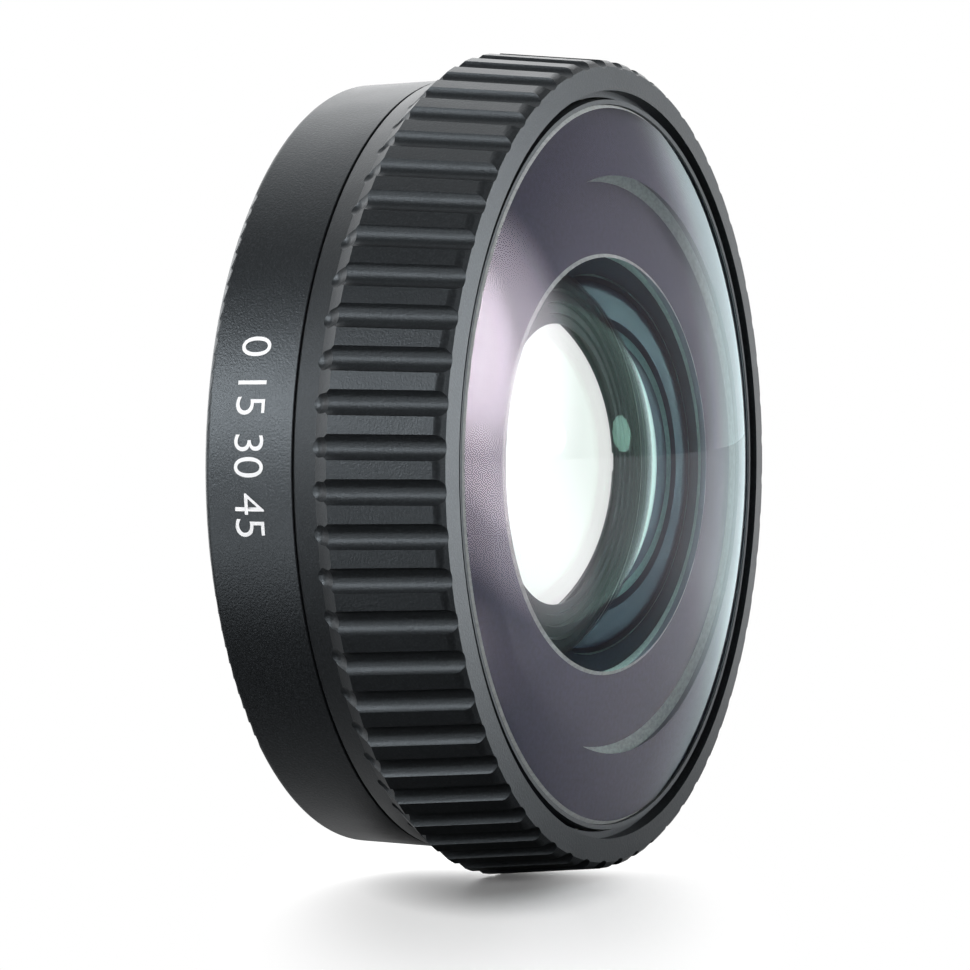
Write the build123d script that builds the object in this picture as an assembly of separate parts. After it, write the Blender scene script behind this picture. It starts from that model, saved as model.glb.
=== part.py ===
"""Wide-angle conversion lens with a fluted lock ring, in millimetres.

The optical axis is Y and the front glass faces -Y. The lens stands on its fluted ring with +Z up.
The origin is the centre of the rear mounting face. A reach is a distance forward of that face, so a
point at a radius and a reach lies at X = radius, Y = -reach before it is turned about the axis.
"""

import math
import os

from build123d import *

# Main sizes
socket_radius = 17.20
barrel_length = 4.95
land_length = 5.68
rear_glass_radius = 9.60
lock_angle = 45.0
flute_count = 60

# Clearances
seat_play = 0.02
radial_play = 0.03
running_play = 0.05
seam_gap = 0.06
bezel_gap = 0.47
bearing_gap = 0.13
lug_play = 0.15
finger_side_play = 0.3
cement_gap = 0.02
cut_overrun = 1.0
window_overrun = 0.5

# Barrel, from the socket outward and from the rear face forward
lip_height = 1.10
lip_length = 1.10
barrel_wall = 1.18
barrel_taper = 0.22
barrel_rear_round = 0.36
barrel_front_bevel = 0.04
barrel_rim = 0.20
web_thickness = 1.50
seal_rim = 1.03
seal_width = 0.70
seal_groove_depth = 0.60

# Outer form of the grip ring
skirt_step = 0.05
skirt_rise = 0.45
skirt_length = 1.45
skirt_rear_bevel = 0.12
rear_slope_rise = 0.80
rear_slope_length = 0.98
land_fall = 0.44
bezel_chamfer = 0.34
bezel_width = 1.20
bezel_rise = 0.17
front_blend_radius = 0.60
lip_depth = 0.70
sleeve_step = 0.32

# Flutes of the grip ring
flute_radius = 0.72
flute_depth = 0.40
flute_slope_depth = 0.20
flute_run_out = 0.38
flute_overrun = 2.0

# Lock sleeve and what holds it
finger_count = 3
finger_angle = 30.0
finger_thickness = 0.90
lug_height = 1.00
lug_thickness = 1.00
lug_setback = 0.20
sleeve_length = 2.36
snap_ring_entry = 0.19
snap_ring_thickness = 0.40
snap_ring_height = 0.90
snap_groove_depth = 0.35
snap_ring_split_angle = 24.0
drive_pin_radius = 0.50
drive_pin_length = 2.10

# Bearings, washers and detent
washer_thickness = 0.56
washer_edge = 0.07
rear_washer_width = 0.60
bearing_width = 0.60
bearing_groove_depth = 0.47
bearing_margin = 0.20
bearing_split_angle = 3.0
detent_angle = 100.0
detent_ball_radius = 0.45
detent_ball_standoff = 0.21
detent_track_half_width = 0.36
detent_track_extra_angle = 4.0
detent_hole_depth = 2.30
spring_wire_radius = 0.07
spring_coil_radius = 0.32
spring_pitch = 0.36

# Lens cell
cell_rim_wall = 0.23
cell_rim_depth = 1.86
cell_rim_recess = 0.17
cell_wall = 2.00
baffle_ledge = 1.95
snout_wall = 1.35
seat_web_width = 1.05
seat_web_thickness = 0.55
front_seal_section = 0.44
front_seal_groove_depth = 0.85
front_seal_setback = 0.95
cell_seal_section = 0.26
cell_seal_setback = 0.80
screw_count = 3
screw_shank_radius = 0.80
screw_length = 2.20
screw_head_radius = 1.45
screw_head_height = 0.70
screw_slot_width = 0.40
screw_slot_depth = 0.35

# Front glass
front_curve = 50.0
front_rim_setback = 0.01
front_rim_bevel = 0.17
front_body_length = 2.72
front_body_bevel = 0.80
hollow_curve = 14.0
hollow_radius = 9.65
hollow_bevel = 0.15
mask_thickness = 0.10

# Rear glass group
second_front_curve = 18.0
second_rear_curve = 40.0
second_edge = 0.60
third_front_curve = 30.0
third_edge = 1.00
cemented_curve = 60.0
fourth_rear_curve = 40.0
fourth_edge = 1.37
spacer_width = 0.80
spacer_length = 0.56
retainer_width = 0.90
retainer_thickness = 0.38

# Baffle and its ring
baffle_length = 2.20
baffle_skirt = 0.95
baffle_wall = 1.60
baffle_flange_thickness = 0.60
baffle_glass_gap = 0.15
baffle_step_count = 5
stop_edge_share = 0.35
stop_inset = 0.60
spanner_slot_width = 1.00
spanner_slot_depth = 0.30

# Radii of the barrel and the ring
cavity_radius = socket_radius + lip_height
barrel_rear_radius = cavity_radius + barrel_wall
barrel_front_radius = barrel_rear_radius + barrel_taper
skirt_rear_radius = barrel_front_radius + skirt_step
skirt_front_radius = skirt_rear_radius + skirt_rise
land_rear_radius = skirt_front_radius + rear_slope_rise
land_front_radius = land_rear_radius - land_fall
bezel_outer_radius = land_front_radius - bezel_chamfer
bezel_inner_radius = bezel_outer_radius - bezel_width
seal_groove_outer = barrel_rear_radius - seal_rim
seal_groove_inner = seal_groove_outer - seal_width

# Radii of the cell, the bearings and the sleeve
cell_outer_radius = bezel_inner_radius - bezel_gap
cell_bore_radius = cell_outer_radius - cell_rim_wall
front_glass_radius = cell_bore_radius - radial_play
bearing_bore_radius = cell_outer_radius + bearing_gap
bearing_groove_radius = cell_outer_radius - bearing_groove_depth
sleeve_bore_radius = bearing_bore_radius + sleeve_step
ring_entry_radius = sleeve_bore_radius + running_play
washer_recess_radius = ring_entry_radius + running_play
snap_groove_radius = sleeve_bore_radius + snap_groove_depth
finger_outer_radius = cavity_radius - 2 * running_play
finger_inner_radius = finger_outer_radius - finger_thickness
lug_inner_radius = finger_inner_radius - lug_height
cell_body_radius = lug_inner_radius - lug_play
front_bore_radius = cell_body_radius - cell_wall
front_body_radius = front_bore_radius - running_play
baffle_bore_radius = front_bore_radius - baffle_ledge
baffle_mouth_radius = baffle_bore_radius - baffle_wall

# Radii of the rear group and its seats
rear_bore_radius = rear_glass_radius + running_play
snout_radius = rear_bore_radius + snout_wall
web_inner_radius = snout_radius + running_play
seat_web_radius = rear_bore_radius - seat_web_width
stop_radius = seat_web_radius - stop_inset
spacer_inner_radius = rear_glass_radius - spacer_width
screw_circle_radius = 0.5 * (web_inner_radius + cell_body_radius)

# Reaches of the barrel and the ring
web_front = barrel_length - barrel_rim
web_rear = web_front - web_thickness
lug_rear = lip_length + lug_setback
skirt_start = barrel_length + seam_gap
slope_start = skirt_start + skirt_length
land_start = slope_start + rear_slope_length
land_end = land_start + land_length
bezel_outer_reach = land_end + bezel_chamfer
bezel_front_reach = bezel_outer_reach + bezel_rise
snap_groove_rear = skirt_start + snap_ring_entry
sleeve_rear = snap_groove_rear + snap_ring_thickness + 2 * seat_play
sleeve_front = sleeve_rear + sleeve_length
sleeve_shoulder = sleeve_front + seat_play
cell_step_reach = sleeve_shoulder + washer_thickness + seat_play

# Reaches of the cell's front seats
cell_front_reach = bezel_front_reach - cell_rim_recess
front_seat_reach = cell_front_reach - cell_rim_depth
glass_seat = front_seat_reach + mask_thickness + seat_play
front_rim_reach = cell_front_reach - front_rim_setback
front_glass_rear = glass_seat - front_body_length
rear_bearing_reach = cell_step_reach + bearing_margin
front_bearing_reach = front_seat_reach - bearing_margin - bearing_width
detent_reach = 0.5 * (rear_bearing_reach + bearing_width + front_bearing_reach)
front_seal_reach = front_seat_reach - front_seal_setback
cell_seal_reach = web_front - cell_seal_setback
baffle_front = front_glass_rear - baffle_glass_gap
baffle_rear = baffle_front - baffle_length
baffle_shoulder_reach = baffle_rear + baffle_skirt
seat_web_front = baffle_rear - running_play
seat_web_rear = seat_web_front - seat_web_thickness

# Angles
finger_pitch = 360.0 / finger_count
half_finger = 0.5 * finger_angle
bridge_middle = 0.5 * lock_angle + 0.5 * finger_pitch


def sag(curve, radius):
    """Depth of a spherical surface at a radius from its centre."""
    return curve - math.sqrt(curve * curve - radius * radius)


# Places of the rear glass surfaces on the axis, worked out through the rims where they rest
second_vertex = seat_web_rear - radial_play + sag(second_front_curve, seat_web_radius)
second_front_edge = second_vertex - sag(second_front_curve, rear_glass_radius)
second_rear_edge = second_front_edge - second_edge
spacer_front = second_rear_edge - radial_play
spacer_rear = spacer_front - spacer_length
third_vertex = spacer_rear - radial_play + sag(third_front_curve, spacer_inner_radius)
third_rear_edge = third_vertex - sag(third_front_curve, rear_glass_radius) - third_edge
fourth_front_edge = third_rear_edge - cement_gap
fourth_vertex = fourth_front_edge + sag(cemented_curve, rear_glass_radius)
fourth_rear_edge = fourth_front_edge - fourth_edge
retainer_front = fourth_rear_edge - radial_play
snout_rear = retainer_front - retainer_thickness


def at(radius, reach):
    """A point of a section, which lies in the XY plane."""
    return (radius, -reach)


def turned(angle, shape):
    """The shape turned about the optical axis."""
    return Rot(0, angle, 0) * shape


def spun(points, arc=360.0, start=0.0):
    """A solid of revolution from a closed section given as (radius, reach) points."""
    outline = Polyline(*[at(*point) for point in points], close=True)
    return turned(start, revolve(make_face(outline), Axis.Y, revolution_arc=arc))


def hoop(inner, outer, rear, front, arc=360.0, start=0.0):
    """A plain ring, or an arc of one, between two radii and two reaches."""
    return spun([(inner, rear), (outer, rear), (outer, front), (inner, front)], arc, start)


def around(count, shape, start=0.0):
    """Copies of a shape, evenly spaced about the axis."""
    return [turned(start + index * 360.0 / count, shape) for index in range(count)]


def seal_ring(radius, reach, section):
    """A round-section sealing ring."""
    outline = Pos(radius, -reach) * Circle(section)
    return revolve(outline, Axis.Y)


def glass_arc(vertex, curve, edge):
    """Section of a surface that bulges forward, from the axis to an edge radius."""
    middle = 0.5 * edge
    return ThreePointArc(
        at(0, vertex),
        at(middle, vertex - sag(curve, middle)),
        at(edge, vertex - sag(curve, edge)),
    )


def meniscus(vertex, front_surface, rear_surface, edge_thickness):
    """A lens of the rear group: both surfaces bulge forward, and the edge is a plain cylinder."""
    edge = rear_glass_radius
    thickness = edge_thickness + sag(front_surface, edge) - sag(rear_surface, edge)
    front = glass_arc(vertex, front_surface, edge)
    rear = glass_arc(vertex - thickness, rear_surface, edge)
    rim = Line(front @ 1, rear @ 1)
    middle = Line(front @ 0, rear @ 0)
    return revolve(make_face(front + rim + rear + middle), Axis.Y)


def spanner_slots(radius, front):
    """Two slots across a retaining ring's front face, for a spanner."""
    slot = Box(4 * radius, 2 * spanner_slot_depth, spanner_slot_width)
    return Pos(0, -front, 0) * slot


# Fixed body: barrel, cell and their fasteners


def barrel_shell():
    """Outer wall with the socket lip at the rear and the web that carries the cell."""
    section = [
        (socket_radius, 0),
        (barrel_rear_radius, 0),
        (barrel_front_radius, barrel_length - barrel_front_bevel),
        (barrel_front_radius - barrel_front_bevel, barrel_length),
        (washer_recess_radius, barrel_length),
        (washer_recess_radius, web_front),
        (web_inner_radius, web_front),
        (web_inner_radius, web_rear),
        (cavity_radius, web_rear),
        (cavity_radius, lip_length),
        (socket_radius, lip_length),
    ]
    shell = spun(section)
    rim = shell.edges().filter_by(GeomType.CIRCLE).filter_by_position(Axis.Y, -0.01, 0.01)
    return fillet(rim.sort_by(SortBy.RADIUS)[-1], barrel_rear_round)


def finger_window():
    """Opening in the web that a finger sweeps through as the ring turns."""
    arc = finger_angle + lock_angle + 2 * finger_side_play
    start = -half_finger - finger_side_play
    rear = web_rear - window_overrun
    front = web_front + window_overrun
    return hoop(cell_body_radius, cavity_radius, rear, front, arc, start)


def screw_hole():
    """Clearance hole and head recess through the web."""
    play = 2 * running_play
    shank = Cylinder(screw_shank_radius + play, 2 * web_front + cut_overrun, rotation=(90, 0, 0))
    head_depth = screw_head_height + play
    head = Cylinder(screw_head_radius + play, 2 * head_depth, rotation=(90, 0, 0))
    return Pos(screw_circle_radius, 0, 0) * shank + Pos(screw_circle_radius, -web_rear, 0) * head


def make_rear_barrel():
    seal_groove = hoop(seal_groove_inner, seal_groove_outer, -cut_overrun, seal_groove_depth)
    windows = around(finger_count, finger_window())
    holes = around(screw_count, screw_hole(), bridge_middle)
    return barrel_shell() - seal_groove - windows - holes


def cell_body():
    """The cell turned from bar, with its seats, shoulders and outer step."""
    section = [
        (snout_radius, snout_rear),
        (snout_radius, web_front),
        (cell_body_radius, web_front),
        (cell_body_radius, cell_step_reach),
        (cell_outer_radius, cell_step_reach),
        (cell_outer_radius, cell_front_reach),
        (cell_bore_radius, cell_front_reach),
        (cell_bore_radius, front_seat_reach),
        (front_bore_radius, front_seat_reach),
        (front_bore_radius, baffle_shoulder_reach),
        (baffle_bore_radius, baffle_shoulder_reach),
        (baffle_bore_radius, seat_web_front),
        (seat_web_radius, seat_web_front),
        (seat_web_radius, seat_web_rear),
        (rear_bore_radius, seat_web_rear),
        (rear_bore_radius, snout_rear),
    ]
    return spun(section)


def screw_thread_hole():
    depth = screw_length + running_play
    hole = Cylinder(screw_shank_radius + seat_play, 2 * depth, rotation=(90, 0, 0))
    seat = web_rear + screw_head_height + running_play
    return Pos(screw_circle_radius, -seat, 0) * hole


def detent_hole():
    """Blind radial hole for the detent ball and its spring."""
    radius = detent_ball_radius + running_play
    hole = Cylinder(radius, 2 * detent_hole_depth, rotation=(0, 90, 0))
    return turned(detent_angle, Pos(cell_outer_radius, -detent_reach, 0) * hole)


def make_lens_cell():
    grooves = [
        hoop(bearing_groove_radius, cell_outer_radius + cut_overrun, reach, reach + bearing_width)
        for reach in (rear_bearing_reach, front_bearing_reach)
    ]
    half = front_seal_section + seat_play
    outer = front_bore_radius + front_seal_groove_depth
    inner = front_bore_radius - cut_overrun
    front_groove = hoop(inner, outer, front_seal_reach - half, front_seal_reach + half)
    half = cell_seal_section + running_play
    inner = web_inner_radius - 2 * cell_seal_section - 2 * seat_play
    outer = snout_radius + cut_overrun
    cell_groove = hoop(inner, outer, cell_seal_reach - half, cell_seal_reach + half)
    holes = around(screw_count, screw_thread_hole(), bridge_middle)
    return cell_body() - grooves - front_groove - cell_groove - holes - detent_hole()


def make_cell_screws():
    """Slotted screws, put in from the socket side."""
    head_front = web_rear + screw_head_height
    head = Cylinder(screw_head_radius, screw_head_height, rotation=(90, 0, 0))
    shank = Cylinder(screw_shank_radius, screw_length, rotation=(90, 0, 0))
    slot = Box(3 * screw_head_radius, 2 * screw_slot_depth, screw_slot_width)
    screw = Pos(0, -head_front + 0.5 * screw_head_height, 0) * head
    screw += Pos(0, -head_front - 0.5 * screw_length, 0) * shank
    screw -= Pos(0, -web_rear, 0) * slot
    return around(screw_count, Pos(screw_circle_radius, 0, 0) * screw, bridge_middle)


def make_rear_face_seal():
    """Rubber ring in the rear face, just under flush."""
    front = seal_groove_depth - seat_play
    return hoop(seal_groove_inner + radial_play, seal_groove_outer - radial_play, running_play, front)


def make_cell_seal():
    return seal_ring(web_inner_radius - cell_seal_section - seat_play, cell_seal_reach, cell_seal_section)


def make_front_seal():
    radius = front_body_radius + front_seal_section + seat_play
    return seal_ring(radius, front_seal_reach, front_seal_section)


# Fixed body: glass and the rings that hold it


def make_front_element():
    """Domed front glass with a thin flange, a thick body and a deep hollow behind."""
    rim_drop = sag(front_curve, front_glass_radius)
    vertex = front_rim_reach + rim_drop
    dome_edge = front_glass_radius - front_rim_bevel
    dome = glass_arc(vertex, front_curve, dome_edge)
    hollow_edge_reach = front_glass_rear + hollow_bevel
    hollow_vertex = hollow_edge_reach + sag(hollow_curve, hollow_radius)
    hollow = glass_arc(hollow_vertex, hollow_curve, hollow_radius)
    side = Polyline(
        dome @ 1,
        at(front_glass_radius, front_rim_reach - front_rim_bevel),
        at(front_glass_radius, glass_seat),
        at(front_body_radius, glass_seat),
        at(front_body_radius, front_glass_rear + front_body_bevel),
        at(front_body_radius - front_body_bevel, front_glass_rear),
        at(hollow_radius + hollow_bevel, front_glass_rear),
        hollow @ 1,
    )
    middle = Line(dome @ 0, hollow @ 0)
    return revolve(make_face(dome + side + hollow + middle), Axis.Y)


def make_front_mask():
    """Thin black film between the flange of the front glass and its seat."""
    inner = front_bore_radius + running_play
    return hoop(inner, front_glass_radius, front_seat_reach, front_seat_reach + mask_thickness)


def make_stepped_baffle():
    """Funnel whose inner wall goes down in steps that stop stray light."""
    outer = baffle_bore_radius - radial_play
    flange_outer = front_bore_radius - radial_play
    flange_front = baffle_shoulder_reach + baffle_flange_thickness
    collar_outer = baffle_bore_radius + 0.5 * baffle_flange_thickness
    section = [
        (stop_radius, baffle_rear),
        (outer, baffle_rear),
        (outer, baffle_shoulder_reach),
        (flange_outer, baffle_shoulder_reach),
        (flange_outer, flange_front),
        (collar_outer, flange_front),
        (collar_outer, baffle_front),
        (baffle_mouth_radius, baffle_front),
    ]
    rise = (baffle_front - baffle_rear) / baffle_step_count
    run = (baffle_mouth_radius - stop_radius) / baffle_step_count
    for step in range(1, baffle_step_count):
        radius = baffle_mouth_radius - (step - 1) * run
        reach = baffle_front - step * rise
        section += [(radius, reach), (radius - run, reach)]
    last_radius = baffle_mouth_radius - (baffle_step_count - 1) * run
    last_reach = baffle_rear + stop_edge_share * rise
    section += [(last_radius, last_reach), (stop_radius, last_reach)]
    return spun(section)


def make_baffle_retaining_ring():
    rear = baffle_shoulder_reach + baffle_flange_thickness + seat_play
    outer = front_bore_radius - radial_play
    inner = baffle_bore_radius + 0.5 * baffle_flange_thickness + running_play
    ring = hoop(inner, outer, rear, baffle_front)
    return ring - spanner_slots(outer, baffle_front)


def make_second_element():
    return meniscus(second_vertex, second_front_curve, second_rear_curve, second_edge)


def make_third_element():
    return meniscus(third_vertex, third_front_curve, cemented_curve, third_edge)


def make_fourth_element():
    return meniscus(fourth_vertex, cemented_curve, fourth_rear_curve, fourth_edge)


def make_lens_spacer():
    """Spacer between the second element and the cemented pair."""
    return hoop(spacer_inner_radius, rear_glass_radius, spacer_rear, spacer_front)


def make_rear_retaining_ring():
    """Threaded ring that holds the rear group in, with spanner slots in its rear face."""
    inner = rear_glass_radius - retainer_width
    ring = hoop(inner, rear_bore_radius - radial_play, snout_rear, retainer_front)
    return ring - spanner_slots(rear_bore_radius, snout_rear)


# Fixed body: bearings, washers and detent


def make_bearing_ring(reach):
    """Split slip ring that lies in a groove of the cell and guides the grip ring."""
    inner = bearing_groove_radius + seat_play
    outer = bearing_bore_radius - seat_play
    rear = reach + seat_play
    front = reach + bearing_width - seat_play
    arc = 360.0 - bearing_split_angle
    return hoop(inner, outer, rear, front, arc, 0.5 * bearing_split_angle)


def make_front_thrust_washer():
    """Slip washer between the sleeve's shoulder and the cell's step."""
    inner = finger_inner_radius + washer_edge
    outer = cell_outer_radius - washer_edge
    return hoop(inner, outer, sleeve_shoulder, sleeve_shoulder + washer_thickness)


def make_rear_thrust_washer():
    """Slip washer between the barrel's web and the snap ring."""
    outer = ring_entry_radius - running_play
    return hoop(outer - rear_washer_width, outer, web_front, snap_groove_rear)


def detent_ball_centre():
    return cell_outer_radius + detent_ball_standoff - detent_ball_radius


def make_detent_ball():
    return turned(detent_angle, Pos(detent_ball_centre(), -detent_reach, 0) * Sphere(detent_ball_radius))


def make_detent_spring():
    """Coil spring that pushes the ball outward."""
    base = cell_outer_radius - detent_hole_depth + spring_wire_radius + seat_play
    top = detent_ball_centre() - detent_ball_radius - spring_wire_radius
    path = Helix(spring_pitch, top - base, spring_coil_radius)
    section = Plane(origin=path @ 0, z_dir=path % 0) * Circle(spring_wire_radius)
    coil = sweep(section, path)
    return turned(detent_angle, Pos(base, -detent_reach, 0) * Rot(0, 90, 0) * coil)


# Turning body: grip ring, sleeve and what joins them


def offset_point(base, direction, along, out):
    """A section point at a distance along a line and square out from it."""
    normal = Vector(direction.Y, -direction.X, 0)
    if normal.X < 0:
        normal = normal * -1
    return base + direction * along + normal * out


def flute_cutter():
    """Cutter that runs along the land, down the rear slope and out in a rounded end."""
    slope_foot = Vector(*at(skirt_front_radius, slope_start))
    slope_top = Vector(*at(land_rear_radius, land_start))
    land_tip = Vector(*at(land_front_radius, land_end))
    land_way = (land_tip - slope_top).normalized()
    slope_way = (slope_top - slope_foot).normalized()
    land_out = flute_radius - flute_depth
    slope_out = flute_radius - flute_slope_depth
    turn = math.radians(land_way.get_angle(slope_way))
    shift = (slope_out - land_out * math.cos(turn)) / math.sin(turn)
    corner = offset_point(slope_top, land_way, -shift, land_out)
    front = offset_point(land_tip, land_way, flute_overrun, land_out)
    end = offset_point(slope_foot, slope_way, flute_run_out, slope_out)
    land_part = rod(corner, front, flute_radius)
    slope_part = rod(end, corner, flute_radius)
    return land_part + slope_part + Pos(*end) * Sphere(flute_radius)


def rod(start, end, radius):
    """A round bar from one point to another."""
    way = end - start
    bar = Cylinder(radius, way.length, align=(Align.CENTER, Align.CENTER, Align.MIN))
    return Plane(origin=start, z_dir=way) * bar


def ring_blank():
    """The grip ring before its flutes are cut."""
    outer = [
        (skirt_rear_radius - skirt_rear_bevel, skirt_start),
        (skirt_rear_radius, skirt_start + skirt_rear_bevel),
        (skirt_front_radius, slope_start),
        (land_rear_radius, land_start),
        (land_front_radius, land_end),
        (bezel_outer_radius, bezel_outer_reach),
        (bezel_inner_radius, bezel_front_reach),
    ]
    inner = [
        (bezel_inner_radius, bezel_front_reach - lip_depth),
        (bearing_bore_radius, bezel_front_reach - lip_depth),
        (bearing_bore_radius, sleeve_shoulder),
        (sleeve_bore_radius, sleeve_shoulder),
        (sleeve_bore_radius, sleeve_rear),
        (snap_groove_radius, sleeve_rear),
        (snap_groove_radius, snap_groove_rear),
        (ring_entry_radius, snap_groove_rear),
        (ring_entry_radius, skirt_start),
    ]
    blank = spun(outer + inner)
    corner = blank.edges().filter_by(GeomType.CIRCLE)
    corner = corner.filter_by_position(Axis.Y, -land_end - seat_play, -land_end + seat_play)
    return fillet(corner, front_blend_radius)


def detent_track():
    """Groove that the ball runs in, with a pocket at each end of the travel."""
    outer = cell_outer_radius + detent_ball_standoff + seat_play
    rear = detent_reach - detent_track_half_width
    front = detent_reach + detent_track_half_width
    arc = lock_angle + 2 * detent_track_extra_angle
    start = detent_angle - lock_angle - detent_track_extra_angle
    track = hoop(cell_outer_radius, outer, rear, front, arc, start)
    pocket = Pos(detent_ball_centre(), -detent_reach, 0) * Sphere(detent_ball_radius + 2 * running_play)
    return [track, turned(detent_angle, pocket), turned(detent_angle - lock_angle, pocket)]


def drive_pin_hole():
    length = drive_pin_length + running_play
    start = Vector(*at(sleeve_bore_radius, sleeve_rear))
    end = Vector(*at(sleeve_bore_radius, sleeve_rear + length))
    return rod(start, end, drive_pin_radius + seat_play)


def make_grip_ring():
    """Fluted ring: the lands carry the fingers and the narrow bezel frames the glass."""
    half_pitch = 180.0 / flute_count
    flutes = around(flute_count, flute_cutter(), half_pitch)
    pin_holes = around(finger_count, drive_pin_hole(), 0.5 * finger_pitch)
    return ring_blank() - flutes - pin_holes - detent_track()


def make_lock_sleeve():
    """Sleeve that turns with the grip ring and reaches back with three hooked fingers."""
    outer = sleeve_bore_radius - seat_play
    sleeve = hoop(finger_inner_radius, outer, sleeve_rear, sleeve_front)
    lug_front = lug_rear + lug_thickness
    finger = spun(
        [
            (lug_inner_radius, lug_rear),
            (finger_outer_radius, lug_rear),
            (finger_outer_radius, sleeve_rear),
            (finger_inner_radius, sleeve_rear),
            (finger_inner_radius, lug_front),
            (lug_inner_radius, lug_front),
        ],
        finger_angle,
        -half_finger,
    )
    pin_holes = around(finger_count, drive_pin_hole(), 0.5 * finger_pitch)
    return sleeve + around(finger_count, finger) - pin_holes


def make_drive_pins():
    """Pins half in the ring and half in the sleeve, so that the two turn together."""
    start = Vector(*at(sleeve_bore_radius, sleeve_rear + running_play))
    end = Vector(*at(sleeve_bore_radius, sleeve_rear + drive_pin_length))
    return around(finger_count, rod(start, end, drive_pin_radius), 0.5 * finger_pitch)


def make_sleeve_snap_ring():
    rear = snap_groove_rear + seat_play
    front = rear + snap_ring_thickness
    arc = 360.0 - snap_ring_split_angle
    outer = snap_groove_radius - seat_play
    return hoop(outer - snap_ring_height, outer, rear, front, arc, 0.5 * snap_ring_split_angle)


nodes = {
    "rear_barrel": make_rear_barrel(),
    "lens_cell": make_lens_cell(),
    "cell_screws": make_cell_screws(),
    "rear_face_seal": make_rear_face_seal(),
    "cell_seal": make_cell_seal(),
    "front_seal": make_front_seal(),
    "front_element": make_front_element(),
    "front_mask": make_front_mask(),
    "stepped_baffle": make_stepped_baffle(),
    "baffle_retaining_ring": make_baffle_retaining_ring(),
    "second_element": make_second_element(),
    "third_element": make_third_element(),
    "fourth_element": make_fourth_element(),
    "lens_spacer": make_lens_spacer(),
    "rear_retaining_ring": make_rear_retaining_ring(),
    "front_bearing_ring": make_bearing_ring(front_bearing_reach),
    "rear_bearing_ring": make_bearing_ring(rear_bearing_reach),
    "front_thrust_washer": make_front_thrust_washer(),
    "rear_thrust_washer": make_rear_thrust_washer(),
    "detent_ball": make_detent_ball(),
    "detent_spring": make_detent_spring(),
    "grip_ring": make_grip_ring(),
    "lock_sleeve": make_lock_sleeve(),
    "drive_pins": make_drive_pins(),
    "sleeve_snap_ring": make_sleeve_snap_ring(),
}

os.makedirs("parts", exist_ok=True)
for name, shape in nodes.items():
    piece = Compound(children=shape) if isinstance(shape, list) else shape
    export_step(piece, f"parts/{name}.step")
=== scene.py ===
"""Scene of the wide-angle conversion lens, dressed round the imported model.

Lengths are in metres. Those of the glass, of the materials' patterns and of the light on the floor are
in millimetres.
"""

import math

import bmesh
import bpy
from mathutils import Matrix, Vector
from mathutils.bvhtree import BVHTree


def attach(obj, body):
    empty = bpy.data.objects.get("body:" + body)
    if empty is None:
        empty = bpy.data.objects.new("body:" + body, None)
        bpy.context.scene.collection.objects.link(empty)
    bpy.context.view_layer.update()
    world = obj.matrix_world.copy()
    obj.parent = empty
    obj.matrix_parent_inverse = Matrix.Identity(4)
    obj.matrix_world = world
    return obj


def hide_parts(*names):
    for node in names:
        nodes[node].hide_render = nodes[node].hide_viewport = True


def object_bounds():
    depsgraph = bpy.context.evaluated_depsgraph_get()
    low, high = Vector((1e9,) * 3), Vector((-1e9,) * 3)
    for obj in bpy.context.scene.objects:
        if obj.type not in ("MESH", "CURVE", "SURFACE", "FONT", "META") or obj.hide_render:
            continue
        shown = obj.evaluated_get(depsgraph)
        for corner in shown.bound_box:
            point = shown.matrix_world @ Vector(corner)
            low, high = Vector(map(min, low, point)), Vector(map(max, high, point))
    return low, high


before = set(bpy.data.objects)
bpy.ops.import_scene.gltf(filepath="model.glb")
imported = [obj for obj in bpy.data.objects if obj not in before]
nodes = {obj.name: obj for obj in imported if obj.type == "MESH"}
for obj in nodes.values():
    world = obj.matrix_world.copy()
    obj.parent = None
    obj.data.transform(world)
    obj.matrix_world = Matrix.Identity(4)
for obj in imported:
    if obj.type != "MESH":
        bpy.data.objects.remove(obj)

cad_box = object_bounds()

MM = 0.001
WHITE = (1.0, 1.0, 1.0, 1.0)

# Camera, fitted to the edges in the photograph

VIEW_AZIMUTH = -65.54
VIEW_ELEVATION = 0.86
VIEW_DISTANCE = 357.15 * MM
VIEW_TARGET = Vector((0.0, -6.36 * MM, 0.0))
SENSOR_WIDTH = 36.0
FOCAL_LENGTH = 258.4
FRAME_SHIFT = -0.022
NEAREST_SEEN = 0.01
FARTHEST_SEEN = 50.0


def direction(azimuth, elevation):
    """Unit vector from the object towards a viewer at that azimuth and elevation, in degrees."""
    a = math.radians(azimuth)
    e = math.radians(elevation)
    return Vector((math.sin(a) * math.cos(e), -math.cos(a) * math.cos(e), math.sin(e)))


def opaque(colour):
    return (colour[0], colour[1], colour[2], 1.0)


# Shader helpers


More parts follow.
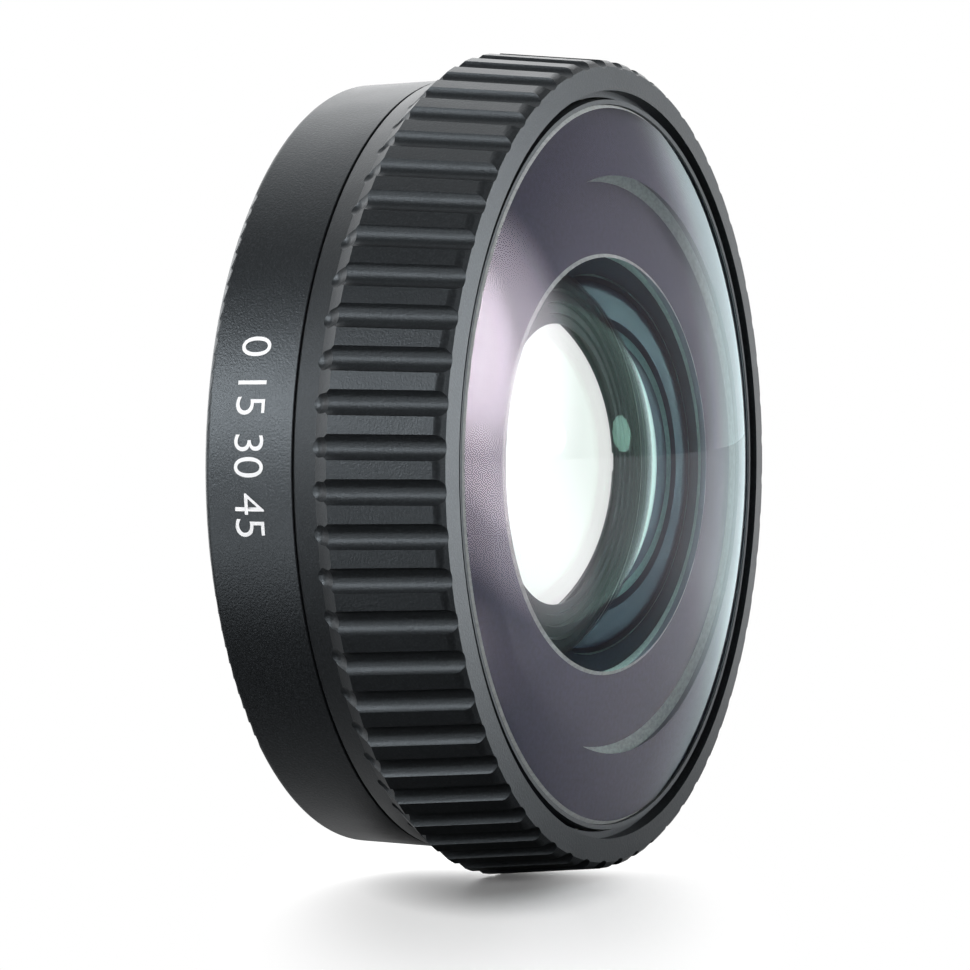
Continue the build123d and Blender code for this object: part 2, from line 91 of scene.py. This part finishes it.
class Shader:
    """A node tree of a material or the world, with short calls for the nodes used here."""

    def __init__(self, owner, kind):
        self.owner = owner
        owner.use_nodes = True
        self.tree = owner.node_tree
        self.tree.nodes.clear()
        self.output = self.tree.nodes.new(kind)
        self.position = None

    def add(self, kind, settings=None, **inputs):
        """A new node; settings are its own fields and inputs are values or sockets by name."""
        node = self.tree.nodes.new(kind)
        for field, value in (settings or {}).items():
            setattr(node, field, value)
        for name, value in inputs.items():
            self.feed(node.inputs[name.replace("_", " ")], value)
        return node

    def feed(self, socket, value):
        """Links a socket to another, or sets it to a plain value."""
        if isinstance(value, bpy.types.NodeSocket):
            self.tree.links.new(value, socket)
        else:
            socket.default_value = value

    def math(self, operation, first, second):
        node = self.add("ShaderNodeMath", {"operation": operation})
        self.feed(node.inputs[0], first)
        self.feed(node.inputs[1], second)
        return node.outputs[0]

    def millimetres(self):
        """Object position in millimetres."""
        if self.position is None:
            coordinate = self.add("ShaderNodeTexCoord")
            scaled = self.add("ShaderNodeVectorMath", {"operation": "SCALE"})
            self.feed(scaled.inputs[0], coordinate.outputs["Object"])
            scaled.inputs["Scale"].default_value = 1.0 / MM
            self.position = scaled.outputs[0]
        return self.position

    def noise(self, scale, detail=2.0, roughness=0.5):
        """Noise with about that many grains to the millimetre."""
        node = self.add("ShaderNodeTexNoise", Scale=scale, Detail=detail, Roughness=roughness)
        self.feed(node.inputs["Vector"], self.millimetres())
        return node.outputs["Fac"]

    def ramp(self, factor, *stops):
        """Colour ramp through (place, colour) stops."""
        node = self.add("ShaderNodeValToRGB")
        self.feed(node.inputs["Fac"], factor)
        elements = node.color_ramp.elements
        for element, (place, colour) in ((elements[0], stops[0]), (elements[1], stops[-1])):
            element.position = place
            element.color = opaque(colour)
        for place, colour in stops[1:-1]:
            elements.new(place).color = opaque(colour)
        return node.outputs["Color"]

    def spread(self, factor, low, high, start=0.0, end=1.0, smooth=False):
        """The factor spread from low at start to high at end."""
        style = "SMOOTHSTEP" if smooth else "LINEAR"
        node = self.add("ShaderNodeMapRange", {"interpolation_type": style})
        self.feed(node.inputs["Value"], factor)
        self.feed(node.inputs["From Min"], start)
        self.feed(node.inputs["From Max"], end)
        self.feed(node.inputs["To Min"], low)
        self.feed(node.inputs["To Max"], high)
        return node.outputs["Result"]

    def bump(self, height, depth):
        """Normal of a surface with that height pattern, depth in metres."""
        node = self.add("ShaderNodeBump", Strength=1.0, Distance=depth)
        self.feed(node.inputs["Height"], height)
        return node.outputs["Normal"]

    def along(self, vector, towards):
        """Cosine of the angle between a vector and a direction."""
        even = self.add("ShaderNodeVectorMath", {"operation": "NORMALIZE"})
        self.feed(even.inputs[0], vector)
        facing = self.add("ShaderNodeVectorMath", {"operation": "DOT_PRODUCT"})
        self.feed(facing.inputs[0], even.outputs[0])
        facing.inputs[1].default_value = Vector(towards).normalized()
        return facing.outputs["Value"]

    def length(self, vector):
        node = self.add("ShaderNodeVectorMath", {"operation": "LENGTH"})
        self.feed(node.inputs[0], vector)
        return node.outputs["Value"]

    def mix(self, share, first, second):
        """The first shader, with that share of the second in its place."""
        node = self.add("ShaderNodeMixShader")
        self.feed(node.inputs[0], share)
        self.feed(node.inputs[1], first)
        self.feed(node.inputs[2], second)
        return node.outputs[0]

    def finish(self, surface):
        self.tree.links.new(surface, self.output.inputs["Surface"])
        return self.owner


def material_shader(name):
    return Shader(bpy.data.materials.new(name), "ShaderNodeOutputMaterial")


# Materials. Grain is in grains to the millimetre, and colours are linear

ANODISED_SHEEN = (0.82, 0.92, 1.0)
ANODISED_IOR = 1.6
ANODISED_TONES = (0.5, 2.2)
PATCHES_PER_MM = 0.35
PLAIN_TONES = (0.8, 1.2)
ROUGHNESS_SWING = 0.04
INK_LOW = (0.84, 0.85, 0.87)
INK_HIGH = (0.9, 0.91, 0.93)


def toned(colour, factor):
    return [min(1.0, factor * channel) for channel in colour]


def anodised(name, colour, roughness, grain, grain_depth):
    """Black anodised aluminium with a fine blasted grain."""
    s = material_shader(name)
    fine = s.noise(grain, roughness=0.6)
    broad = s.noise(PATCHES_PER_MM)
    darkest = toned(colour, ANODISED_TONES[0])
    brightest = toned(colour, ANODISED_TONES[1])
    tone = s.ramp(fine, (0.35, darkest), (0.55, colour), (0.75, brightest))
    rough = s.spread(broad, roughness - ROUGHNESS_SWING, roughness + ROUGHNESS_SWING)
    skin = s.add("ShaderNodeBsdfPrincipled", Base_Color=tone, Roughness=rough, IOR=ANODISED_IOR)
    skin.inputs["Specular Tint"].default_value = opaque(ANODISED_SHEEN)
    s.feed(skin.inputs["Normal"], s.bump(fine, grain_depth))
    return s.finish(skin.outputs[0])


def plain_skin(name, colour, roughness, grain=4.0, depth=0.004 * MM, metallic=0.0):
    """A plain surface with a faint uneven tone and grain."""
    s = material_shader(name)
    fine = s.noise(grain)
    tone = s.ramp(fine, (0.3, toned(colour, PLAIN_TONES[0])), (0.7, toned(colour, PLAIN_TONES[1])))
    rough = s.spread(fine, roughness - ROUGHNESS_SWING, roughness + ROUGHNESS_SWING)
    skin = s.add("ShaderNodeBsdfPrincipled", Base_Color=tone, Roughness=rough, Metallic=metallic)
    s.feed(skin.inputs["Normal"], s.bump(fine, depth))
    return s.finish(skin.outputs[0])


# Share that bare glass mirrors: head on, where the coating has its glancing colour, and where it ends

GLASS_IOR = 1.52
HEAD_ON = 0.05
COLOUR_TURNED = 0.35
COATING_GONE = 0.6


def coated_glass(name, sheen, glancing_sheen, least):
    """Glass with a coating that mirrors least head on and the usual share at a glancing angle."""
    s = material_shader(name)
    bare = s.add("ShaderNodeFresnel", IOR=GLASS_IOR).outputs[0]
    tint = s.ramp(bare, (HEAD_ON, sheen), (COLOUR_TURNED, glancing_sheen))
    mirror = s.add("ShaderNodeBsdfGlossy", Color=tint, Roughness=0.0)
    clear = s.add("ShaderNodeBsdfRefraction", Color=WHITE, Roughness=0.0, IOR=GLASS_IOR)
    share = s.spread(bare, least, 1.0, HEAD_ON, COATING_GONE)
    return s.finish(s.mix(s.math("MULTIPLY", bare, share), clear.outputs[0], mirror.outputs[0]))


def print_white():
    """Screen-printed white ink."""
    s = material_shader("print_white")
    tone = s.ramp(s.noise(6.0), (0.3, INK_LOW), (0.7, INK_HIGH))
    skin = s.add("ShaderNodeBsdfPrincipled", Base_Color=tone, Roughness=0.55)
    return s.finish(skin.outputs[0])


def dress(material, *names):
    """Gives CAD nodes a material."""
    for name in names:
        piece = nodes[name]
        piece.data.materials.clear()
        piece.data.materials.append(material)


# Geometry helpers, in millimetres. A reach is a distance in front of the rear face

SEGMENTS = 192
ARC_STEPS = 40
ON_AXIS = 1e-6
CREASE = math.radians(12)


def sag(curve, radius):
    """Depth of a sphere's cap with that radius of curvature and that radius at its edge."""
    return curve - math.sqrt(curve * curve - radius * radius)


def arc(vertex, curve, inner, outer):
    """Points of a glass surface that bulges forward, from one radius to another."""
    steps = range(ARC_STEPS + 1)
    radii = [inner + (outer - inner) * i / ARC_STEPS for i in steps]
    return [(radius, vertex - sag(curve, radius)) for radius in radii]


def ring_of_vertices(form, radius, reach):
    """A ring about the axis, or one vertex on it."""
    if radius < ON_AXIS:
        return [form.verts.new((0, -reach * MM, 0))]
    ring = []
    for i in range(SEGMENTS):
        turn = 2 * math.pi * i / SEGMENTS
        x = radius * MM * math.cos(turn)
        z = radius * MM * math.sin(turn)
        ring.append(form.verts.new((x, -reach * MM, z)))
    return ring


def skin_between(form, first, second, index):
    """Faces from one ring to the next, triangles where one of them is a single vertex."""
    for i in range(SEGMENTS):
        j = (i + 1) % SEGMENTS
        corners = [
            first[i % len(first)],
            first[j % len(first)],
            second[j % len(second)],
            second[i % len(second)],
        ]
        face = form.faces.new(list(dict.fromkeys(corners)))
        face.material_index = index


def lathe(name, runs):
    """A solid of revolution about Y from runs of (material, points), axis to axis.

    Points are (radius, reach), and each run goes on from the last point of the one before.
    """
    form = bmesh.new()
    mesh = bpy.data.meshes.new(name)
    last_point = None
    last_ring = None
    for index, (material, points) in enumerate(runs):
        mesh.materials.append(material)
        for point in points:
            if point == last_point:
                continue
            ring = ring_of_vertices(form, *point)
            if last_ring is not None:
                skin_between(form, last_ring, ring, index)
            last_point = point
            last_ring = ring
    bmesh.ops.recalc_face_normals(form, faces=form.faces)
    for face in form.faces:
        face.smooth = True
    for edge in form.edges:
        edge.smooth = edge.calc_face_angle(0.0) < CREASE
    form.to_mesh(mesh)
    form.free()
    piece = bpy.data.objects.new(name, mesh)
    bpy.context.scene.collection.objects.link(piece)
    return piece


def stand_in(piece, node, body="lens_body"):
    """The piece takes the node's place on its body."""
    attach(piece, body)
    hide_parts(node)


# Finishes of the metal, plastic and rubber pieces

BLACK = (0.0085, 0.0095, 0.0105)

barrel_black = anodised("barrel_black", BLACK, roughness=0.40, grain=8.5, grain_depth=0.016 * MM)
ring_black = anodised("ring_black", BLACK, roughness=0.42, grain=8.5, grain_depth=0.013 * MM)
cell_black = anodised(
    "cell_black", (0.010, 0.011, 0.012), roughness=0.45, grain=8.0, grain_depth=0.004 * MM
)
sleeve_black = anodised(
    "sleeve_black", (0.012, 0.012, 0.013), roughness=0.38, grain=7.0, grain_depth=0.004 * MM
)
baffle_black = plain_skin("baffle_black", (0.014, 0.027, 0.028), 0.38)
spacer_black = plain_skin("spacer_black", (0.010, 0.010, 0.011), 0.60)
retainer_black = plain_skin("retainer_black", (0.018, 0.031, 0.032), 0.38)
seal_rubber = plain_skin("seal_rubber", (0.018, 0.018, 0.018), 0.65, grain=6.0, depth=0.006 * MM)
mask_film = plain_skin("mask_film", (0.008, 0.008, 0.009), 0.60)
bearing_plastic = plain_skin("bearing_plastic", (0.62, 0.60, 0.55), 0.40, grain=3.0, depth=0.002 * MM)
washer_plastic = plain_skin("washer_plastic", (0.03, 0.03, 0.03), 0.45, grain=3.0, depth=0.002 * MM)


def steel(name, colour, roughness, depth):
    return plain_skin(name, colour, roughness, grain=8.0, depth=depth, metallic=1.0)


screw_steel = steel("screw_steel", (0.10, 0.10, 0.11), 0.32, 0.002 * MM)
spring_steel = steel("spring_steel", (0.42, 0.41, 0.40), 0.28, 0.002 * MM)
bright_steel = steel("bright_steel", (0.60, 0.60, 0.60), 0.18, 0.001 * MM)

dress(barrel_black, "rear_barrel")
dress(ring_black, "grip_ring")
dress(cell_black, "lens_cell")
dress(sleeve_black, "lock_sleeve")
dress(baffle_black, "stepped_baffle")
dress(spacer_black, "lens_spacer")
dress(retainer_black, "baffle_retaining_ring", "rear_retaining_ring")
dress(seal_rubber, "rear_face_seal", "cell_seal", "front_seal")
dress(mask_film, "front_mask")
dress(bearing_plastic, "front_bearing_ring", "rear_bearing_ring")
dress(washer_plastic, "front_thrust_washer", "rear_thrust_washer")
dress(screw_steel, "cell_screws")
dress(spring_steel, "detent_spring", "sleeve_snap_ring")
dress(bright_steel, "detent_ball", "drive_pins")

# Glass, in millimetres, with the sizes of the solids that it replaces

front_coat = coated_glass("front_coat", (1.0, 0.87, 0.99), (0.80, 0.97, 1.0), least=0.45)
hollow_coat = coated_glass("hollow_coat", (0.50, 1.00, 0.82), (0.70, 1.0, 0.95), least=0.35)
inner_coat = coated_glass("inner_coat", (0.45, 1.00, 0.62), (0.75, 1.0, 0.88), least=0.60)
rear_coat = coated_glass("rear_coat", (0.70, 0.98, 0.95), (0.90, 1.0, 0.98), least=0.40)
edge_paint = plain_skin("edge_paint", (0.029, 0.028, 0.054), 0.50, depth=0.0003 * MM)
ground_edge = plain_skin("ground_edge", (0.34, 0.36, 0.36), 0.45, depth=0.0003 * MM)

FRONT_CURVE = 50.0
FRONT_RADIUS = 18.29
FRONT_BEVEL = 0.17
FRONT_RIM = 13.45
FRONT_SEAT = 11.72
BODY_RADIUS = 14.10
BODY_REAR = 9.00
BODY_BEVEL = 0.80
HOLLOW_CURVE = 14.0
HOLLOW_RADIUS = 9.65
HOLLOW_BEVEL = 0.15

REAR_GROUP_RADIUS = 9.60
SECOND_VERTEX = 8.207
SECOND_CURVES = (18.0, 40.0)
SECOND_EDGE = 0.60
THIRD_VERTEX = 5.533
THIRD_CURVES = (30.0, 60.0)
THIRD_EDGE = 1.00
FOURTH_VERTEX = 3.708
FOURTH_CURVES = (60.0, 40.0)
FOURTH_EDGE = 1.37


def make_front_glass():
    """The domed front glass with its flange, its thick body and the hollow in its rear."""
    vertex = FRONT_RIM + sag(FRONT_CURVE, FRONT_RADIUS)
    dome = arc(vertex, FRONT_CURVE, 0.0, FRONT_RADIUS - FRONT_BEVEL)
    flange = [
        (FRONT_RADIUS, FRONT_SEAT),
        (BODY_RADIUS, FRONT_SEAT),
        (BODY_RADIUS, BODY_REAR + BODY_BEVEL),
    ]
    hollow_edge = BODY_REAR + HOLLOW_BEVEL
    hollow_vertex = hollow_edge + sag(HOLLOW_CURVE, HOLLOW_RADIUS)
    hollow = arc(hollow_vertex, HOLLOW_CURVE, 0.0, HOLLOW_RADIUS)[::-1]
    runs = [
        (front_coat, dome),
        (ground_edge, [(FRONT_RADIUS, FRONT_RIM - FRONT_BEVEL)]),
        (edge_paint, flange),
        (ground_edge, [(BODY_RADIUS - BODY_BEVEL, BODY_REAR)]),
        (edge_paint, [(HOLLOW_RADIUS + HOLLOW_BEVEL, BODY_REAR)]),
        (ground_edge, [hollow[0]]),
        (hollow_coat, hollow),
    ]
    return lathe("front_glass", runs)


def make_meniscus(name, vertex, curves, edge_thickness, coating):
    """A glass of the rear group, both of whose faces bulge forward."""
    front_curve, rear_curve = curves
    front = arc(vertex, front_curve, 0.0, REAR_GROUP_RADIUS)
    rear_vertex = front[-1][1] - edge_thickness + sag(rear_curve, REAR_GROUP_RADIUS)
    rear = arc(rear_vertex, rear_curve, 0.0, REAR_GROUP_RADIUS)[::-1]
    return lathe(name, [(coating, front), (edge_paint, [rear[0]]), (coating, rear)])


front_glass = make_front_glass()
second_glass = make_meniscus("second_glass", SECOND_VERTEX, SECOND_CURVES, SECOND_EDGE, inner_coat)
third_glass = make_meniscus("third_glass", THIRD_VERTEX, THIRD_CURVES, THIRD_EDGE, rear_coat)
fourth_glass = make_meniscus("fourth_glass", FOURTH_VERTEX, FOURTH_CURVES, FOURTH_EDGE, rear_coat)
stand_in(front_glass, "front_element")
stand_in(second_glass, "second_element")
stand_in(third_glass, "third_element")
stand_in(fourth_glass, "fourth_element")

# Printed scale on the barrel: plain numbers that read round the barrel, tops towards the ring

SCALE_WORDS = "0 15 30 45"
SCALE_HEIGHT = 1.62 * MM
SCALE_REACH = 2.55 * MM
SCALE_MIDDLE = math.radians(4.6)
SCALE_RADIUS = 19.6 * MM
LETTER_STEPS = 8
STROKE_OFFSET = -0.006
INK_LIFT = 0.02 * MM
INK_CELL = 0.36 * MM


def flat_words(words, height):
    """Mesh of the words in the XY plane, centred, with that cap height."""
    curve = bpy.data.curves.new("scale_words", "FONT")
    curve.body = words
    curve.align_x = "CENTER"
    curve.align_y = "CENTER"
    curve.resolution_u = LETTER_STEPS
    curve.offset = STROKE_OFFSET
    holder = bpy.data.objects.new("scale_words", curve)
    bpy.context.scene.collection.objects.link(holder)
    bpy.context.view_layer.update()
    mesh = bpy.data.meshes.new_from_object(holder.evaluated_get(bpy.context.evaluated_depsgraph_get()))
    bpy.data.objects.remove(holder)
    bpy.data.curves.remove(curve)
    low = min(vertex.co.y for vertex in mesh.vertices)
    high = max(vertex.co.y for vertex in mesh.vertices)
    size = height / (high - low)
    middle = 0.5 * (high + low)
    for vertex in mesh.vertices:
        vertex.co = Vector((vertex.co.x * size, (vertex.co.y - middle) * size, 0.0))
    return mesh


def cut_into_cells(form, size):
    """Cuts the flat words across at even steps, so that they can bend round the barrel."""
    xs = [vertex.co.x for vertex in form.verts]
    place = math.floor(min(xs) / size) * size
    while place < max(xs):
        everything = form.verts[:] + form.edges[:] + form.faces[:]
        bmesh.ops.bisect_plane(form, geom=everything, plane_co=(place, 0, 0), plane_no=(1, 0, 0))
        place += size


def lay_on_barrel(form):
    """Drops each vertex of the flat words on the barrel's wall, from outside the object."""
    barrel = nodes["rear_barrel"]
    wall = BVHTree.FromPolygons(
        [vertex.co for vertex in barrel.data.vertices],
        [polygon.vertices for polygon in barrel.data.polygons],
    )
    outside = cad_box[1][2]
    for vertex in form.verts:
        angle = SCALE_MIDDLE - vertex.co.x / SCALE_RADIUS
        outward = Vector((-math.cos(angle), 0.0, math.sin(angle)))
        start = outward * outside + Vector((0.0, -SCALE_REACH - vertex.co.y, 0.0))
        hit = wall.ray_cast(start, -outward)[0]
        vertex.co = hit + outward * INK_LIFT


def make_scale():
    mesh = flat_words(SCALE_WORDS, SCALE_HEIGHT)
    form = bmesh.new()
    form.from_mesh(mesh)
    cut_into_cells(form, INK_CELL)
    lay_on_barrel(form)
    form.to_mesh(mesh)
    form.free()
    mesh.materials.append(print_white())
    piece = bpy.data.objects.new("printed_scale", mesh)
    bpy.context.scene.collection.objects.link(piece)
    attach(piece, "lens_body")
    return piece


make_scale()

# Key light, as cosines from its edge to its full level, for the core of the light and its glow

KEY_CORE = (0.9877, 0.9994)
KEY_GLOW = (0.94, 0.9945)

# Floor. Distances on it are in millimetres, from the object's origin or from the middle of an oval

FLOOR_HEIGHT = cad_box[0][2]
FLOOR_HALF = 4.0

# Floor as the object sees it: a glow, with painted light brighter on the far side and painted shade close
# to the object
FAR_WAY = (0.97, -0.15, 0.0)
FAR_COSINES = (0.1, 0.75)
FAR_LEVELS = (0.03, 1.3)
PAINTED_SHADE_DISTANCES = (40.0, 200.0)
PAINTED_SHADE_LEVELS = (0.14, 1.0)

# Painted reflection of the key light in that glow, faded out close to the object
KEY_WAY = (0.43, -0.89, 0.0)
PAINTED_KEY_CORE_LEVEL = 7.0
PAINTED_KEY_GLOW_LEVEL = 6.0
PAINTED_KEY_DISTANCES = (23.0, 70.0)

# Gloss on that glow, with less of it close to the object as part of the painted shade
POLISH_ROUGHNESS = 0.12
POLISH_DISTANCES = (40.0, 160.0)
POLISH_SHARES = (0.20, 0.45)
POLISH_COSINES = (0.80, 0.95)

# Mirror image under the object in the camera's view, laid over two ovals where its contact shadow falls:
# partly a real reflection, partly painted shadow
IMAGE_ROUGHNESS = 0.44
IMAGE_AND_SHADOW_REACH = 6.9
IMAGE_AND_SHADOW_EDGE = 1.1
CORE_SHIFT = 8.0
CORE_WIDTH = 9.5
CORE_DEPTH = 34.0
CORE_SHARE = 0.95
CORE_INNER = 0.10
VEIL_SHIFT = 25.0
VEIL_WIDTH = 12.5
VEIL_DEPTH = 85.0
VEIL_SHARE = 0.40
VEIL_INNER = 0.30


def sheet_in_the_object(s):
    """The sheet as it lights the object and shows in it.

    It glows though it is no lamp, with painted light bright on the far side, painted shade dark close by
    and a painted reflection of the key light, and it mirrors a little.
    """
    away = s.length(s.millimetres())
    # Painted light: the glow is brighter on the far side
    far_side = s.spread(s.along(s.millimetres(), FAR_WAY), *FAR_LEVELS, *FAR_COSINES, smooth=True)
    # Painted shade: the glow is dark close to the object
    painted_shade_near = s.spread(away, *PAINTED_SHADE_LEVELS, *PAINTED_SHADE_DISTANCES, smooth=True)
    towards_key = s.along(s.millimetres(), KEY_WAY)
    # Painted reflection of the key light, as its core and its glow
    core = s.spread(towards_key, 0.0, PAINTED_KEY_CORE_LEVEL, *KEY_CORE, smooth=True)
    glow = s.spread(towards_key, 0.0, PAINTED_KEY_GLOW_LEVEL, *KEY_GLOW, smooth=True)
    reach = s.spread(away, 0.0, 1.0, *PAINTED_KEY_DISTANCES, smooth=True)
    image = s.math("MULTIPLY", s.math("ADD", core, glow), reach)
    level = s.math("ADD", s.math("MULTIPLY", far_side, painted_shade_near), image)
    sheet = s.add("ShaderNodeEmission", Color=WHITE, Strength=level)
    polish = s.add("ShaderNodeBsdfGlossy", Color=WHITE, Roughness=POLISH_ROUGHNESS)
    # Less gloss close by, as part of the painted shade, and none towards the key light
    clear_of_key = s.spread(towards_key, 1.0, 0.0, *POLISH_COSINES)
    share = s.math("MULTIPLY", s.spread(away, *POLISH_SHARES, *POLISH_DISTANCES), clear_of_key)
    return s.mix(share, sheet.outputs[0], polish.outputs[0])


def oval(s, shift, width, depth, share, inner):
    """A share that fades over an oval, set off from the contact towards the photograph's viewer."""
    # The oval sets where the contact shadow falls, as painted shadow
    place = s.add("ShaderNodeMapping", {"vector_type": "TEXTURE"})
    s.feed(place.inputs["Vector"], s.millimetres())
    middle = Vector((0.0, -IMAGE_AND_SHADOW_REACH, FLOOR_HEIGHT / MM)) + shift * direction(VIEW_AZIMUTH, 0.0)
    place.inputs["Location"].default_value = middle
    place.inputs["Rotation"].default_value = (0.0, 0.0, math.radians(VIEW_AZIMUTH))
    place.inputs["Scale"].default_value = (width, depth, 1.0)
    return s.spread(s.length(place.outputs["Vector"]), share, 0.0, inner, IMAGE_AND_SHADOW_EDGE, smooth=True)


def sheet_in_view(s):
    """The sheet as the camera sees it: white, with a soft mirror image under the object, laid over ovals
    where the contact shadow falls, so that it is partly a real reflection and partly painted shadow.
    """
    plain = s.add("ShaderNodeEmission", Color=WHITE, Strength=1.0)
    gloss = s.add("ShaderNodeBsdfGlossy", Color=WHITE, Roughness=IMAGE_ROUGHNESS)
    core = oval(s, CORE_SHIFT, CORE_WIDTH, CORE_DEPTH, CORE_SHARE, CORE_INNER)
    veil = oval(s, VEIL_SHIFT, VEIL_WIDTH, VEIL_DEPTH, VEIL_SHARE, VEIL_INNER)
    return s.mix(s.math("MAXIMUM", core, veil), plain.outputs[0], gloss.outputs[0])


def in_view(s):
    """One for rays from the camera and through the glass, nothing for others."""
    rays = s.add("ShaderNodeLightPath")
    return s.math("MAXIMUM", rays.outputs["Is Camera Ray"], rays.outputs["Is Transmission Ray"])


def floor_material():
    s = material_shader("white_sheet")
    return s.finish(s.mix(in_view(s), sheet_in_the_object(s), sheet_in_view(s)))


def make_floor():
    mesh = bpy.data.meshes.new("floor")
    h = FLOOR_HALF
    corners = [(-h, -h, FLOOR_HEIGHT), (h, -h, FLOOR_HEIGHT), (h, h, FLOOR_HEIGHT), (-h, h, FLOOR_HEIGHT)]
    mesh.from_pydata(corners, [], [(0, 1, 2, 3)])
    mesh.materials.append(floor_material())
    floor = bpy.data.objects.new("floor", mesh)
    bpy.context.scene.collection.objects.link(floor)


make_floor()

# Light

ROOM_LEVEL = 0.08
WATTS_PER_RADIANCE = 4.0


def softbox(name, towards, distance, width, height, radiance, shape="RECTANGLE"):
    """Area lamp that faces the object, given by the radiance of its face."""
    light = bpy.data.lights.new(name, "AREA")
    light.shape = shape
    light.size = width
    light.size_y = height
    light.energy = WATTS_PER_RADIANCE * radiance * width * height
    lamp = bpy.data.objects.new(name, light)
    way = Vector(towards).normalized()
    lamp.location = way * distance
    lamp.rotation_euler = way.to_track_quat("Z", "Y").to_euler()
    lamp.visible_camera = False
    bpy.context.scene.collection.objects.link(lamp)
    return lamp


def panel(s, way, towards, level, edge, middle, height=1.0):
    """Light round a direction, from nothing at one cosine to the full level at another.

    A height over one draws the panel out up and down.
    """
    squat = s.add("ShaderNodeVectorMath", {"operation": "MULTIPLY"})
    s.feed(squat.inputs[0], way)
    squat.inputs[1].default_value = (1.0, 1.0, 1.0 / height)
    return s.spread(s.along(squat.outputs[0], towards), 0.0, level, edge, middle, smooth=True)


def panels(s, way):
    """The panels: far wall low and high, far front, behind, near front, key light twice, and overhead."""
    return [
        panel(s, way, (0.80, 0.60, 0.0), level=1.35, edge=0.62, middle=0.80, height=1.4),
        panel(s, way, (0.84, 0.40, 0.36), level=1.0, edge=0.90, middle=0.98),
        panel(s, way, (0.91, -0.41, 0.0), level=0.38, edge=0.80, middle=0.97),
        panel(s, way, (0.25, 0.96, 0.10), level=3.2, edge=0.80, middle=0.96, height=0.5),
        panel(s, way, (-0.41, -0.91, 0.0), level=1.2, edge=0.88, middle=0.98),
        panel(s, way, (0.43, -0.89, 0.15), 18.0, *KEY_CORE, height=1.2),
        panel(s, way, (0.43, -0.89, 0.14), 13.0, *KEY_GLOW, height=0.9),
        panel(s, way, (0.35, 0.30, 0.89), level=0.9, edge=0.80, middle=0.96),
    ]


def surroundings():
    """White backdrop, with light panels of soft edge in a darker room for other rays."""
    world = bpy.data.worlds.new("studio")
    bpy.context.scene.world = world
    s = Shader(world, "ShaderNodeOutputWorld")
    room = ROOM_LEVEL
    for light in panels(s, s.add("ShaderNodeTexCoord").outputs["Generated"]):
        room = s.math("ADD", light, room)
    level = s.add("ShaderNodeMix", {"data_type": "FLOAT"})
    s.feed(level.inputs[0], in_view(s))
    s.feed(level.inputs[2], room)
    s.feed(level.inputs[3], 1.0)
    glow = s.add("ShaderNodeBackground", Color=WHITE, Strength=level.outputs[0])
    s.finish(glow.outputs[0])


def make_lamps():
    """Two softboxes beside the barrel, a fill, and a lamp that only shows through the glass."""
    softbox("side_softbox", (-0.88, 0.41, 0.27), distance=0.5, width=0.22, height=0.19, radiance=5.2)
    softbox("rear_softbox", (-0.70, 0.66, 0.28), distance=0.5, width=0.18, height=0.18, radiance=6.0)
    fill = softbox("fill", (-0.85, -0.40, 0.35), distance=1.0, width=0.6, height=0.6, radiance=3.0)
    fill.visible_glossy = False
    inner_key = softbox("inner_key", (0.54, -0.81, 0.218), 0.5, 0.16, 0.14, 34.0, shape="ELLIPSE")
    inner_key.visible_glossy = False
    inner_key.visible_diffuse = False


make_lamps()
surroundings()

# Camera


def make_camera():
    data = bpy.data.cameras.new("camera")
    data.sensor_width = SENSOR_WIDTH
    data.lens = FOCAL_LENGTH
    data.shift_y = FRAME_SHIFT
    data.clip_start = NEAREST_SEEN
    data.clip_end = FARTHEST_SEEN
    camera = bpy.data.objects.new("camera", data)
    away = direction(VIEW_AZIMUTH, VIEW_ELEVATION)
    camera.location = VIEW_TARGET + away * VIEW_DISTANCE
    camera.rotation_euler = away.to_track_quat("Z", "Y").to_euler()
    bpy.context.scene.collection.objects.link(camera)
    bpy.context.scene.camera = camera


make_camera()
bpy.context.scene.view_settings.view_transform = "Standard"
